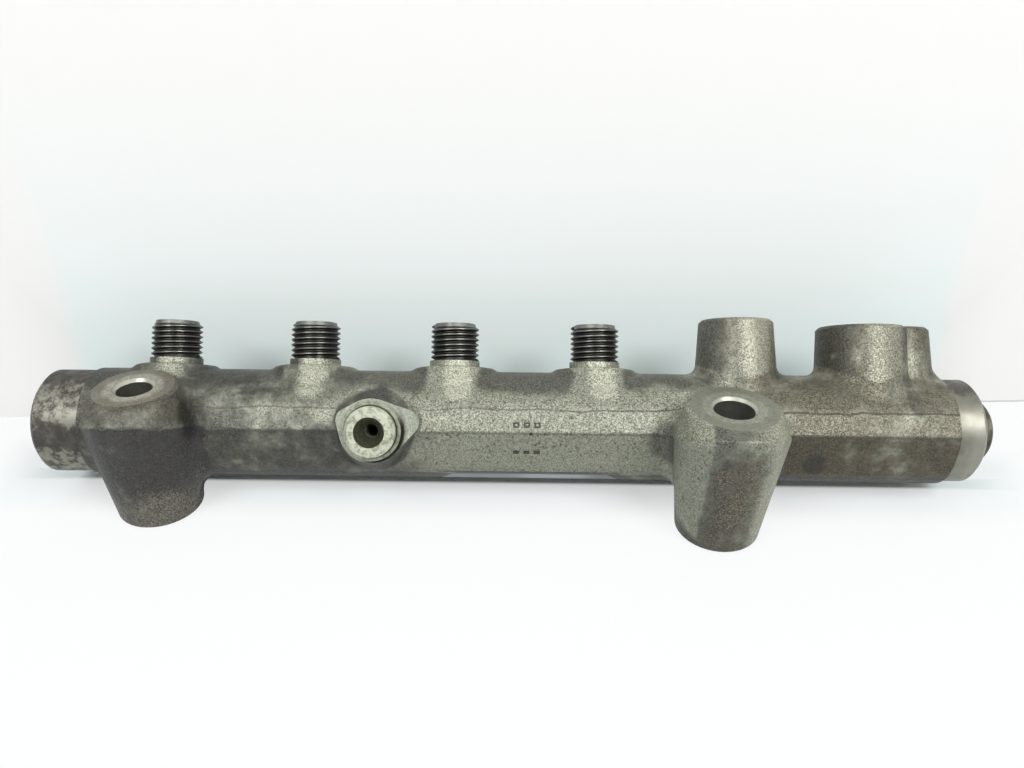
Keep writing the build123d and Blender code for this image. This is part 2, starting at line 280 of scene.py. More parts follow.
# painted shade: the underside is painted nearly black, and its reflection is turned down
underside = within(angle, radians(-80), radians(30), radians(9))
skin_colour = layer(skin_colour, underside, black_oil_and_shade, 0.95)

# %% [markdown]
# Small dark flecks break up the skin as well. A fine noise gives them when only its lowest values count,
# which makes them sparse and uneven, where a pattern of cells would look regular.

# %% Forged skin: dark flecks
flecks = both(skin.between(skin.noise(0.36, detail=1), 0.35, 0.41, 1.0, 0.0),
              skin.between(mottle, 0.40, 0.62, 0.25, 1.0))
skin_colour = skin.mix(skin.times(flecks, 0.75), skin_colour, (0.045, 0.042, 0.033))

# %% [markdown]
# Bosses and bolt columns stand out of the tube, so they wear and gather dirt in their own way; the bosses'
# left sides also get painted shade, and the valley beside the ear is painted dark as shade. A share that
# multiplies a few plain limits picks one side of one of them, and the layer's noises bend its edge.

# %% Forged skin: soot and painted shade on the bosses, painted shade in the valley beside the ear
on_boss = skin.between(out, 0.0172, 0.0195)
sensor_left = both(skin.between(x, 0.150, 0.153), skin.between(x, 0.1575, 0.1650, 1.0, 0.0))
valve_left = both(skin.between(x, 0.186, 0.189), skin.between(x, 0.1935, 0.2010, 1.0, 0.0))
# soot and painted shade on the left side of each boss
bosses_left_soot_and_shade = skin.larger(sensor_left, valve_left)
skin_colour = layer(skin_colour, both(on_boss, bosses_left_soot_and_shade), soot_and_shade, 0.65)
# painted shade in the valley between the valve boss and its ear
valley_shade = both(within(x, 0.2128, 0.0006, 0.0028), skin.between(angle, radians(36), radians(48)))
skin_colour = layer(skin_colour, valley_shade, soot_and_shade, 0.60)

# %% Forged skin: the bolt columns
# the dark front of the left column ends at a line through z 27.05 at y 0 and z 35.5 at y -15.8
ridge_slope = (35.5 - 27.05) / 15.8
over_ridge = skin.plus(skin.minus(z, 0.02705), skin.times(y, ridge_slope))
over_ridge = skin.plus(over_ridge, skin.times(skin.minus(mottle, 0.5), 0.004))
left_column = both(skin.between(x, 0.014, 0.019, 1.0, 0.0), skin.between(x, -0.0165, -0.0145))
left_front = both(left_column, skin.between(y, -0.001, 0.005, 1.0, 0.0),
                  skin.between(over_ridge, -0.0008, 0.0, 1.0, 0.0))
left_crust = both(left_front, skin.between(z, 0.006, 0.018, 0.55, 1.5))
left_shoulder = both(left_column, skin.between(over_ridge, 0.0, 0.004, 0.30, 0.62),
                     skin.between(y, 0.002, 0.010, 1.0, 0.0))
right_front = both(within(x, 0.1600, 0.0030, 0.0110), skin.between(y, -0.0220, -0.0090, 1.0, 0.0),
                   skin.between(z, 0.0335, 0.0355, 1.0, 0.0))
skin_colour = layer(skin_colour, left_shoulder, (0.085, 0.077, 0.058), 0.85, 0.65)
skin_colour = layer(skin_colour, left_crust, charcoal, 0.90, 0.3)
left_foot_wear = both(left_front, skin.between(z, 0.003, 0.018, 0.58, 0.28))
skin_colour = layer(skin_colour, left_foot_wear, (0.19, 0.178, 0.14), 0.60, 0.55)
skin_colour = layer(skin_colour, skin.times(right_front, 0.76), (0.060, 0.051, 0.037), 0.80, 0.7)
skin_colour = layer(skin_colour, skin.times(right_front, 0.50), (0.20, 0.168, 0.120), 0.45, 0.6)

# %% [markdown]
# A few stains are single ones. Each is a soft ball in space that colours the skin where it cuts it. One of
# them, above the inlet's pad, is painted shade, and so is a dark ring round the pad. The feet of the stubs
# and the fronts of the bosses are painted pale as highlights.

# %% Forged skin: single stains, painted shade round the inlet's pad, painted highlights
inlet_start = rail_axis + Vector((inlet_x * MM, 0, 0))
_, inlet_height, inlet_radius = skin.from_axis(inlet_start, inlet_dir)
# painted shade in the corner round the flank of the inlet's pad
pad_corner_shade = both(within(inlet_radius, 0.0102, 0.0004, 0.0022), skin.between(inlet_height, 0.006, 0.009))
skin_colour = layer(skin_colour, skin.times(pad_corner_shade, 0.85), black_oil_and_shade, 0.60)
# centre, full radius and soft edge in millimetres, then the colour and its strength
STAINS = (((29, 8, 34), 2.0, 7, soot_and_shade, 0.90),
          ((13, -1, 30), 2.0, 7, black_oil_and_shade, 0.75),
          ((17, 1, 24), 1.0, 4, black_oil_and_shade, 0.90),
          ((52, 0, 22), 3.0, 8, soot_and_shade, 0.80),
          # the next ball, above the inlet's pad, is painted shade on the pad's upper flank
          ((63, 3, 35), 3.0, 5, soot_and_shade, 0.80),
          ((145, -1, 24), 1.5, 8, soot_and_shade, 0.65),
          ((186, -1, 17), 0.2, 6, black_oil_and_shade, 0.60),
          ((166, -20, 28), 0.5, 3.5, black_oil_and_shade, 0.80),
          ((155, -22, 31), 0.5, 3.5, black_oil_and_shade, 0.60))
for centre, radius, soft, colour, strength in STAINS:
    skin_colour = layer(skin_colour, skin.times(skin.near(centre, radius, soft), 0.85), colour, strength)
# painted highlights: a pale colour on the stubs' feet and the bosses' fronts, where lit faces turn to the
# lamps
highlight_pale = (0.62, 0.63, 0.50)
beside_stub = skin.size_of(from_port(skin, skin.minus(x, 0.0015)))
stub_foot_highlight = both(skin.between(beside_stub, 0.0005, 0.0075, 0.85, 0.0),
                 skin.between(angle, radians(46), radians(68)),
                 skin.between(angle, radians(100), radians(125), 1.0, 0.0),
                 skin.between(x, 0.130, 0.136, 1.0, 0.0))
skin_colour = layer(skin_colour, stub_foot_highlight, highlight_pale, 0.50, 0.35)
boss_front_highlight = both(on_boss, skin.larger(within(x, 0.1695, 0.0020, 0.0070), within(x, 0.2055, 0.0030, 0.0070)))
skin_colour = layer(skin_colour, skin.times(boss_front_highlight, 0.72), highlight_pale, 0.32, 0.3)

# %% [markdown]
# The two halves of the forging die met along the rail and left a fine line. Noise along the rail makes it
# wander. A second dark line follows the ridge of the front, and a third, a painted shadow, the upper edge
# of the milled flat.

# %% Forged skin: parting line, ridge and the painted shadow at the flat's edge
wave = skin.times(skin.minus(skin.noise(7, detail=3, stretch=(1, 0, 0)), 0.5), 0.22)
seam = skin.size_of(skin.minus(skin.plus(angle, wave), radians(47)))
seam_line = skin.between(seam, 0.004, 0.022, 1.0, 0.0)
beside_columns = skin.between(y, -0.012, -0.006)
seam_share = skin.times(seam_line, skin.between(x, 0.066, 0.185, 0.42, 0.80))
skin_colour = skin.mix(skin.times(seam_share, beside_columns), skin_colour, (0.060, 0.052, 0.038))
crease = both(within(angle, radians(22.5), radians(0.4), radians(1.4)), beside_columns,
              skin.between(x, 0.018, 0.024))
skin_colour = skin.mix(skin.times(crease, 0.45), skin_colour, soot_and_shade)
# painted shadow along the upper edge of the milled flat
flat_edge_shadow = both(within(angle, radians(-27.6), radians(0.5), radians(1.2)), within(x, 0.107, 0.024, 0.003))
skin_colour = skin.mix(skin.times(flat_edge_shadow, 0.75), skin_colour, black_oil_and_shade)

# %% [markdown]
# Two rows of three small squares are punched in the front. They are too shallow for geometry, so a mask
# makes them: it is 1 inside a square, and both darkens the metal and presses it in.

# %% Forged skin: punched squares
def squares(row_angle, half_height, hollow):
    """Three squares in a row along the rail, outlined or full."""
    along = skin.size_of(skin.minus(skin.math("PINGPONG", skin.minus(x, 0.1011), 0.00145), 0.00145))
    across = skin.times(skin.size_of(skin.minus(angle, row_angle)), 0.0156)
    edge = skin.larger(along, skin.times(across, 0.0008 / half_height))
    inside = skin.between(edge, 0.00075, 0.0009, 1.0, 0.0)
    if hollow:
        inside = skin.times(inside, skin.between(edge, 0.0003, 0.0005))
    return both(inside, within(x, 0.10545, 0.0042, 0.0001))


punched = skin.larger(squares(radians(31.2), 0.0007, True), squares(radians(0), 0.0006, False))
punched = skin.larger(punched, skin.near((106.6, -0.85, 26.2), 0.3, 0.4))
skin_colour = skin.mix(skin.times(punched, 0.85), skin_colour, black_oil_and_shade)

# %% [markdown]
# The relief stacks four bumps: grain, specks, mottles, and last the seam and the squares, pressed in. Bump is
# enough for them, because none is deeper than 0.15 mm.

# %% Forged skin: relief and finish
skin_bump = skin.bump(grain, 0.10)
skin_bump = skin.bump(specks, 0.07, skin_bump)
skin_bump = skin.bump(mottle, 0.15, skin_bump)
skin_bump = skin.bump(skin.times(skin.larger(seam_share, punched), -1.0), 0.15, skin_bump)
skin.feed(skin.surface.inputs["Specular IOR Level"], skin.between(underside, 0.0, 1.0, 0.5, 0.05))
forged_skin = skin.finish(skin_colour, skin.between(specks, 0.3, 0.7, 0.60, 0.42),
                          skin.between(underside, 0.0, 0.8, 0.40, 0.0), skin_bump)

# %% [markdown]
# Turned steel shows fine rings square to the lathe's axis. On this rail that axis is X, so the rings are a
# noise squeezed along X: it changes quickly along the rail and hardly at all round it.

# %% Turned steel of the two ends
turned = Recipe("turned_steel")
x, y, z = recipe_xyz(turned)
angle, out = round_the_rail(turned)
rings = turned.noise(0.16, detail=2, stretch=(1, 0.02, 0.02))
smears = turned.noise(6, detail=4, roughness=0.6, stretch=(1, 0.6, 0.6))
spots = turned.noise(1.4, detail=4, roughness=0.7)
at_left = turned.between(x, 0.0, 0.05, 1.0, 0.0)
clean = turned.mix(turned.between(smears, 0.3, 0.7), (0.32, 0.32, 0.27), (0.22, 0.215, 0.175))
old = turned.mix(turned.between(spots, 0.40, 0.62), (0.27, 0.265, 0.22), (0.085, 0.082, 0.07))
tone = turned.mix(at_left, clean, old)
blotted = turned.plus(turned.times(turned.minus(smears, 0.5), 2.0),
                      turned.times(turned.minus(spots, 0.5), 1.2))
blotted = turned.plus(blotted, 1.0)
wander = turned.times(turned.minus(turned.noise(5, detail=4, roughness=0.65), 0.5), 1.1)
bent = turned.plus(angle, wander)
dark_band = turned.between(turned.size_of(turned.minus(bent, radians(12))), radians(9), radians(20), 0.9, 0.0)
top_soot = turned.between(bent, radians(62), radians(84))
top_soot = turned.times(top_soot, turned.between(bent, radians(122), radians(160), 1.0, 0.0))
dark_band = turned.times(dark_band, turned.between(at_left, 0.0, 1.0, 0.38, 1.0))
top_soot = turned.times(top_soot, turned.between(at_left, 0.0, 1.0, 0.62, 1.0))
dirty = turned.larger(dark_band, top_soot)
tone = turned.mix(turned.between(turned.times(dirty, blotted), 0.25, 0.85, 0.0, 0.85), tone,
                  (0.078, 0.073, 0.066))
dots = turned.times(turned.between(turned.cells(2.2), 0.06, 0.13, 1.0, 0.0),
                    turned.between(turned.noise(2.6), 0.46, 0.56))
tone = turned.mix(turned.times(dots, 0.85), tone, (0.05, 0.045, 0.03))
shoulder = turned.between(turned.size_of(turned.minus(x, right_skin_x * MM)), 0.0002, 0.0006, 0.8, 0.0)
tone = turned.mix(shoulder, tone, (0.04, 0.037, 0.028))
sheen = turned.plus(turned.between(spots, 0.3, 0.7, 0.40, 0.54), turned.times(at_left, 0.08))
turned_steel = turned.finish(tone, sheen, 0.80, turned.bump(spots, 0.01, turned.bump(rings, 0.002)))

# %% [markdown]
# Milled places are paler: the feet, the bolt seats, the boss tops and the inlet's pad. Their tool marks are
# rings round the hole that the tool followed, so each recipe measures the distance from its own axis. The
# bolt seats get a painted highlight on the rim of the hole, and the inlet's pad the painted shadow of its
# stub.

# %% Milled faces with tool rings
def milled_finish(name, centre, direction, colour, worn_colour, worn_from, highlight_rim=0.0, shaded_side=None):
    """Ringed metal round an axis: dirty past worn_from millimetres, a painted highlight inside the rim, a
    painted shadow on the shaded side.
    """
    recipe = Recipe(name)
    offset, _, radius = recipe.from_axis(Vector(centre) * MM, direction)
    rings = recipe.add("TexNoise", {"W": recipe.times(radius, 1.6 / MM), "Scale": 1.0, "Detail": 2.0}, "Fac",
                       noise_dimensions="1D")
    blots = recipe.noise(1.8, detail=4, roughness=0.65)
    worn = recipe.between(recipe.plus(radius, recipe.times(blots, 1.5 * MM)),
                          worn_from * MM, (worn_from + 1.5) * MM)
    tone = recipe.mix(recipe.between(rings, 0.35, 0.65), colour, tuple(0.8 * c for c in colour))
    tone = recipe.mix(recipe.between(blots, 0.45, 0.70, 0.0, 0.6), tone, worn_colour)
    tone = recipe.mix(recipe.times(worn, 0.85), tone, worn_colour)
    grit = recipe.between(recipe.noise(0.30, detail=3, roughness=0.7), 0.35, 0.65, 0.0, 0.45)
    tone = recipe.mix(grit, tone, tuple(0.45 * c for c in worn_colour))
    # painted highlight: pale colour inside the rim, where the hole's chamfer catches the light
    tone = recipe.mix(recipe.between(radius, highlight_rim * MM, (highlight_rim + 0.4) * MM, 0.8, 0.0), tone, (0.50, 0.50, 0.43))
    # painted shadow: a dark crescent on one side of the axis, as the stub's shadow on the pad
    if shaded_side:
        side = recipe.math("DIVIDE", recipe.vector("DOT_PRODUCT", offset, shaded_side), radius)
        shade = recipe.times(recipe.between(side, 0.05, 0.75),
                             recipe.between(radius, 0.0088, 0.0098, 1.0, 0.0))
        tone = recipe.mix(shade, tone, (0.028, 0.027, 0.019))
    bump = recipe.bump(blots, 0.03, recipe.bump(rings, 0.03))
    return recipe.finish(tone, recipe.between(blots, 0.3, 0.7, 0.36, 0.52), 0.7, bump)


up = Vector((0, 0, 1))
pale, grimy_face = (0.42, 0.41, 0.34), (0.17, 0.16, 0.125)
# the last number of each seat is the radius of the painted highlight round its hole
left_seat = milled_finish("left_seat", left_bolt, up, (0.44, 0.425, 0.35), (0.19, 0.176, 0.135), 7.6,
                          left_hole + 0.5)
right_seat = milled_finish("right_seat", right_bolt, up, (0.36, 0.37, 0.295), (0.23, 0.235, 0.185), 8.4,
                           right_hole + 0.5)
axis_mm = rail_axis / MM
inlet_cone = milled_finish("inlet_cone", axis_mm + Vector((inlet_x, 0, 0)), inlet_dir, (0.15, 0.155, 0.10),
                           (0.05, 0.05, 0.035), 9.0, -1.0)
# the pad carries the painted shadow of its stub on its lower right
pad_face = milled_finish("inlet_pad", axis_mm + Vector((inlet_x, 0, 0)), inlet_dir, (0.58, 0.63, 0.52),
                         (0.30, 0.31, 0.245), 13.0, highlight_rim=-1.0, shaded_side=(0.80, -0.24, -0.55))
sensor_face = milled_finish("sensor_top", axis_mm + Vector((sensor_x, 0, 0)), port_dir, pale, grimy_face, 9.0)
valve_face = milled_finish("valve_top", axis_mm + Vector((valve_x, 0, 0)), port_dir, pale, grimy_face, 11.0)

# %% [markdown]
# A flat is milled along the lower front of the tube. It lies in the rail's own shade, so it stays dark and
# bluish, with fine strokes along it, one painted highlight streak and a painted shadow along its upper edge.

# %% Milled flat under the tube
flat = Recipe("milled_flat")
strokes = flat.noise(0.35, detail=2, stretch=(0.03, 1, 1))
film = flat.noise(7, detail=3)
flat_colour = flat.mix(flat.between(film, 0.35, 0.65), (0.19, 0.225, 0.24), (0.085, 0.10, 0.105))
x, y, z = recipe_xyz(flat)
angle, out = round_the_rail(flat)
# painted highlight: a paler streak along the middle of the flat
highlight_streak = flat.between(flat.size_of(flat.minus(x, 0.114)), 0.006, 0.013, 1.0, 0.0)
highlight_streak = flat.times(highlight_streak, flat.between(angle, radians(-40), radians(-36), 1.0, 0.0))
flat_colour = flat.mix(flat.times(highlight_streak, 0.6), flat_colour, (0.48, 0.53, 0.54))
# painted shadow along the flat's upper edge
top_edge_shadow = flat.between(angle, radians(-40), radians(-35), 0.0, 0.85)
flat_colour = flat.mix(top_edge_shadow, flat_colour, (0.012, 0.014, 0.016))
milled_flat = flat.finish(flat_colour, 0.34, 0.8, flat.bump(strokes, 0.02))

# %% [markdown]
# Threads are painted dark in their roots as shade and pale on their crests as highlights. The distance from
# the stub's axis tells one from the other, and the folding of the outlets onto the first lets one recipe do
# all four.

# %% Thread steel
thread = Recipe("thread_steel")
x, y, z = recipe_xyz(thread)
folded = from_port(thread, x)
side = thread.vector("DOT_PRODUCT", thread.vector("SUBTRACT", thread.place, rail_axis), tuple(back_dir))
thread_r = thread.math("SQRT", thread.plus(thread.math("POWER", folded, 2), thread.math("POWER", side, 2)))
thread_mottle = thread.noise(1.6, detail=3)
# painted highlight on the crests, painted shade in the roots
crest_highlight = thread.between(thread.plus(thread_r, thread.times(thread_mottle, 0.16 * MM)), 6.86 * MM, 7.06 * MM)
thread_colour = thread.mix(thread.times(crest_highlight, 0.85), (0.036, 0.036, 0.031), (0.21, 0.215, 0.19))
thread_steel = thread.finish(thread_colour, thread.between(thread_mottle, 0.3, 0.7, 0.30, 0.50), 0.8,
                             thread.bump(thread.noise(0.3), 0.03))

# %% [markdown]
# The stubs' tips, the inlet's nose with its collar, the bores and the plug are plain turned or drilled steel.
# Each takes two tones and a blotchy noise. The nose also has painted shade in the crevice where it meets its
# collar.

# %% Tips of the stubs, the inlet's nose, bores and plug
tip = Recipe("stub_tip")
tip_blots = tip.noise(1.1, detail=4, roughness=0.65)
tip_colour = tip.mix(tip.between(tip_blots, 0.38, 0.68), (0.21, 0.22, 0.205), (0.11, 0.112, 0.10))
stub_tip = tip.finish(tip_colour, 0.50, 0.60, tip.bump(tip_blots, 0.03))

nose = Recipe("inlet_nose")
_, nose_height, nose_radius = nose.from_axis(inlet_start, inlet_dir)
nose_blots = nose.noise(0.7, detail=4, roughness=0.7)
nose_colour = nose.mix(nose.between(nose_blots, 0.45, 0.62, 0.0, 0.8), (0.60, 0.63, 0.50), (0.25, 0.25, 0.18))
low = nose.between(nose_height, (inlet_collar_top + 0.1) * MM, (inlet_collar_top + 1.0) * MM, 1.0, 0.0)
nose_colour = nose.mix(nose.times(low, 0.45), nose_colour, (0.17, 0.17, 0.125))
# painted shade in the crevice where the nose meets its collar
crevice_shade = nose.between(nose.size_of(nose.minus(nose_radius, thread_radius * MM)), 0.00015, 0.0006, 0.9, 0.0)
nose_colour = nose.mix(nose.times(crevice_shade, low), nose_colour, (0.025, 0.025, 0.018))
inlet_nose = nose.finish(nose_colour, 0.45, 0.6, nose.bump(nose_blots, 0.04))

bore = Recipe("drilled_bore")
bore_film = bore.noise(1.2, detail=3)
bore_colour = bore.mix(bore_film, (0.16, 0.165, 0.14), (0.07, 0.07, 0.06))
drilled_bore = bore.finish(bore_colour, 0.45, 0.6, bore.bump(bore_film, 0.03))

plug_finish = Recipe("plug_steel")
plug_dirt = plug_finish.noise(2.0, detail=4, roughness=0.65)
plug_colour = plug_finish.mix(plug_finish.between(plug_dirt, 0.35, 0.65), (0.145, 0.135, 0.10),
                              (0.06, 0.053, 0.038))
plug_steel = plug_finish.finish(plug_colour, 0.48, 0.7, plug_finish.bump(plug_dirt, 0.06))

# %% [markdown]
# The rail's own piece is a copy of the CAD node, with its loose triangles merged. Each face gets its finish
# from where it lies: inside a bore, on a stub, on a seat, past the shoulder of a turned end, or on the skin.

# %% Which finish a face gets
finishes = {m.name: m for m in (forged_skin, turned_steel, left_seat, right_seat, pad_face, inlet_cone,
                                sensor_face, valve_face, milled_flat, thread_steel, stub_tip,
                                inlet_nose, drilled_bore)}
order = list(finishes)
CLOSE = 0.12   # mm
flat_normal = Vector((0, -cos(radians(45)), -sin(radians(45))))


def on_port(point, x, back=0.0):
    """Height along a port's direction and distance from its axis, in millimetres."""
    offset = point - axis_mm - Vector((x, 0, 0)) - back_dir * back
    height = offset.dot(port_dir)
    return height, (offset - port_dir * height).length


def on_inlet(point):
    offset = point - axis_mm - Vector((inlet_x, 0, 0))
    height = offset.dot(inlet_dir)
    return height, (offset - inlet_dir * height).length


def finish_of(point, normal):
    """The finish of one face, from its centre in millimetres and its normal."""
    for bolt, hole, seat in ((left_bolt, left_hole, "left_seat"), (right_bolt, right_hole, "right_seat")):
        radius = hypot(point.x - bolt.x, point.y - bolt.y)
        if radius < seat_reach and normal.z > 0.998 and abs(point.z - seat_z) < 0.02:
            return seat
        if radius < hole + 0.9 and point.z > seat_z - 1 and normal.z > 0.5:
            return seat
        if radius < hole + CLOSE:
            return "drilled_bore"
        if radius < foot_reach and point.z < CLOSE:
            return seat
    for x in port_xs:
        height, radius = on_port(point, x)
        if height > 15 and radius < 4.3:
            return "drilled_bore"
        if radius < thread_radius + CLOSE and collar_top - CLOSE < height < tip_chamfer_start:
            return "thread_steel"
        if radius < 7.5 and height > collar_top - CLOSE:
            return "stub_tip"
    height, radius = on_inlet(point)
    if 14 < height and radius < 4.25 and (normal.dot(inlet_dir) < 0.98):
        return "inlet_cone"
    if radius < 8.4 and height > pad_height + CLOSE:
        return "inlet_nose"
    if radius < 16 and abs(height - pad_height) < CLOSE and normal.dot(inlet_dir) > 0.98:
        return "inlet_pad"
    for x, top, hole, name in ((sensor_x, sensor_top, sensor_bore, "sensor_top"),
                               (valve_x, valve_top, valve_bore, "valve_top")):
        height, radius = on_port(point, x)
        if height > 14 and radius < hole + CLOSE:
            return "drilled_bore"
        if height > top - 1 and (radius < hole + 0.9 or normal.dot(port_dir) > 0.98) and radius < 24:
            return name
    height, radius = on_port(point, ear_hole_x, ear_hole_back)
    if height > 10 and radius < ear_bore + CLOSE:
        return "drilled_bore"
    out = hypot(point.y - axis_mm.y, point.z - axis_mm.z)
    if out < 8.2 and point.x > left_skin_x - 1:
        return "drilled_bore"
    if out < end_radius + CLOSE and (point.x < left_skin_x or point.x > right_skin_x):
        return "turned_steel"
    flat_height = (point - axis_mm).dot(flat_normal)
    if normal.dot(flat_normal) > 0.999 and abs(flat_height - (rail_radius - flat_cut)) < CLOSE:
        return "milled_flat"
    return "forged_skin"

# %% The rail's piece
rail = bpy.data.objects.new("forged_rail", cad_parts["rail_body"].data.copy())
bpy.context.collection.objects.link(rail)
rail.data.materials.clear()
for name in order:
    rail.data.materials.append(finishes[name])
shape = bmesh.new()
shape.from_mesh(rail.data)
bmesh.ops.remove_doubles(shape, verts=shape.verts, dist=1e-6)
counts = dict.fromkeys(order, 0)
for face in shape.faces:
    name = finish_of(face.calc_center_median() / MM, face.normal)
    face.material_index = order.index(name)
    face.smooth = True
    counts[name] += 1
for edge in shape.edges:
    edge.smooth = edge.calc_face_angle(0) < radians(32)
print("faces per finish:", counts)

# %% [markdown]
# The CAD keeps each pipe thread as its outer cylinder. Here that cylinder shrinks to the thread's root, and
# the ridges go on it next.

# %% Shrink the stubs to their roots
shrunk = 0
for vertex in shape.verts:
    point = vertex.co / MM
    for x in port_xs:
        height, radius = on_port(point, x)
        if collar_top - CLOSE < height < tip_chamfer_start + CLOSE and abs(radius - thread_radius) < 0.05:
            axis_point = axis_mm + Vector((x, 0, 0)) + port_dir * height
            vertex.co = (axis_point + (point - axis_point) * (root_radius / radius)) * MM
            shrunk += 1
shape.to_mesh(rail.data)
shape.free()
rail.data.attributes.remove(rail.data.attributes["custom_normal"])
rail.data.update()
print("vertices moved to the thread's root:", shrunk)

# %% [markdown]
# A polished round shows every facet in its highlight. The turned ends keep their few facets, but their
# shading normals are taken straight from the rail axis, so the light sees a true round.

# %% True round shading on the turned ends
def on_the_round(centre, normal):
    """Whether a face lies on the turned round itself, not on a chamfer or an end."""
    return hypot(centre.y, centre.z) > end_radius - 0.5 and abs(normal.x) < 0.1


normals = [corner.vector.copy() for corner in rail.data.corner_normals]
rounded = 0
for polygon in rail.data.polygons:
    centre = polygon.center / MM - axis_mm
    if polygon.material_index == order.index("turned_steel") and on_the_round(centre, polygon.normal):
        for corner in polygon.loop_indices:
            place = rail.data.vertices[rail.data.loops[corner].vertex_index].co - rail_axis
            normals[corner] = Vector((0, place.y, place.z)).normalized()
            rounded += 1
rail.data.normals_split_custom_set(normals)
print("corners shaded round:", rounded)

# %% [markdown]
# A thread is one ridge that follows a helix: a rule, so Geometry Nodes make it. A Spiral gives the path, a
# four-cornered profile is swept along it, and the result is set on a row of points, one for each outlet,
# leaned back with the port. The ridge fades where it runs into the tip's chamfer.

# %% Geometry Nodes tree for a row of threads
tree = bpy.data.node_groups.new("thread_row", "GeometryNodeTree")
tree.is_modifier = True
face_panel = tree.interface
face_panel.new_socket("Geometry", in_out="OUTPUT", socket_type="NodeSocketGeometry")
SIZES = {"root radius": root_radius, "crest radius": thread_radius, "pitch": thread_pitch,
         "foot height": collar_top + thread_lift, "length": thread_length, "port pitch": port_pitch}
sockets = {}
for name, value in SIZES.items():
    socket = face_panel.new_socket(name, in_out="INPUT", socket_type="NodeSocketFloat")
    sockets[name] = socket.identifier
given = tree.nodes.new("NodeGroupInput")
made = tree.nodes.new("NodeGroupOutput")


def geo(kind, inputs=None, output=0, **settings):
    """Adds one geometry node, feeds it and returns one of its outputs."""
    node = tree.nodes.new(kind)
    for key, value in settings.items():
        setattr(node, key, value)
    for key, value in (inputs or {}).items():
        if isinstance(value, bpy.types.NodeSocket):
            tree.links.new(value, node.inputs[key])
        else:
            node.inputs[key].default_value = value
    return node.outputs[output]


def sum_of(a, b, operation="ADD"):
    return geo("ShaderNodeMath", {0: a, 1: b}, operation=operation)

# %% Helix, profile and sweep
turns = sum_of(given.outputs["length"], given.outputs["pitch"], "DIVIDE")
root = given.outputs["root radius"]
helix = geo("GeometryNodeCurveSpiral",
            {"Resolution": 48, "Rotations": turns, "Start Radius": root, "End Radius": root,
             "Height": given.outputs["length"], "Reverse": True})
run_out = geo("ShaderNodeMapRange", {"Value": geo("GeometryNodeSplineParameter", output="Factor"),
                                     "From Min": 0.90, "From Max": 1.0, "To Min": 1.0, "To Max": 0.12})
helix = geo("GeometryNodeSetCurveRadius", {"Curve": helix, "Radius": run_out})
helix = geo("GeometryNodeSetCurveNormal", {"Curve": helix}, mode="Z_UP")
depth = sum_of(given.outputs["crest radius"], given.outputs["root radius"], "SUBTRACT")


def corner(share_of_pitch, height):
    across = sum_of(given.outputs["pitch"], share_of_pitch, "MULTIPLY")
    return geo("ShaderNodeCombineXYZ", {"X": height, "Y": across})


profile = geo("GeometryNodeCurvePrimitiveQuadrilateral",
              {"Point 1": corner(-0.44, -0.05), "Point 2": corner(-0.09, depth),
               "Point 3": corner(0.09, depth), "Point 4": corner(0.44, -0.05)}, mode="POINTS")
ridge = geo("GeometryNodeCurveToMesh", {"Curve": helix, "Profile Curve": profile, "Fill Caps": True})

# %% One ridge on each outlet
lift = geo("ShaderNodeCombineXYZ", {"Z": given.outputs["foot height"]})
ridge = geo("GeometryNodeTransform", {"Geometry": ridge, "Translation": lift})
step = geo("ShaderNodeCombineXYZ", {"X": given.outputs["port pitch"]})
row = geo("GeometryNodeMeshLine", {"Count": port_count,
                                   "Start Location": axis_mm + Vector((first_port_x, 0, 0)), "Offset": step})
stubs = geo("GeometryNodeInstanceOnPoints",
            {"Points": row, "Instance": ridge, "Rotation": (-port_lean, 0, 0)})
solid = geo("GeometryNodeRealizeInstances", {"Geometry": stubs})
solid = geo("GeometryNodeTransform", {"Geometry": solid, "Scale": (MM, MM, MM)})
solid = geo("GeometryNodeSetMaterial", {"Geometry": solid, "Material": thread_steel})
tree.links.new(solid, made.inputs[0])

# %% [markdown]
# A modifier's inputs are set by their identifiers. The evaluated result is then kept as a plain mesh and the
# maker is removed, so that nothing of the piece depends on a modifier any more.

# %% Evaluate it to a plain mesh
maker = bpy.data.objects.new("thread_maker", bpy.data.meshes.new("empty"))
bpy.context.collection.objects.link(maker)
modifier = maker.modifiers.new("threads", "NODES")
modifier.node_group = tree
for name, value in SIZES.items():
    modifier[sockets[name]] = value
bpy.context.view_layer.update()
evaluated = maker.evaluated_get(bpy.context.evaluated_depsgraph_get())
ridges = bpy.data.objects.new("outlet_threads", bpy.data.meshes.new_from_object(evaluated))
bpy.context.collection.objects.link(ridges)
bpy.data.objects.remove(maker)
edit = bmesh.new()
edit.from_mesh(ridges.data)
bmesh.ops.recalc_face_normals(edit, faces=edit.faces)
edit.to_mesh(ridges.data)
edit.free()
ridges.data.shade_smooth()
ridges.data.set_sharp_from_angle(angle=radians(50))
print("thread ridges:", len(ridges.data.polygons), "faces, materials:", list(ridges.data.materials))

# %% [markdown]
# Each piece is tied to the CAD: the forged rail stands for its node, the ridges ride with it, and the plug
# keeps its CAD mesh and only gets a finish.

# %% Tie the pieces to the CAD
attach(rail, "root")
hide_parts("rail_body")
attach(ridges, "root")
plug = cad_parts["end_plug"]
plug.data.materials.clear()
plug.data.materials.append(plug_steel)
print("pieces:", rail.name, ridges.name, plug.name)

# %% [markdown]
# The set is a pale floor and a pale wall close behind the rail, where the stubs' soft shadows fall. The
# wall lets the camera through from behind, so the rail can be seen from every side. Both glow for camera,
# transmission and glossy rays only, so they look near white, also in the rail's reflections, and throw no
# extra soft light on it. Close to the rail the glow fades, because there it would wash out the shadows. In a
# narrow strip under the rail the floor's colour is a little darker and greyer, a painted shadow, and low down
# behind the rail the wall is tinted greener, a painted hue of shade. The dark line at the right of the wall's
# foot is painted shade in the wall's colour, where wall meets floor.

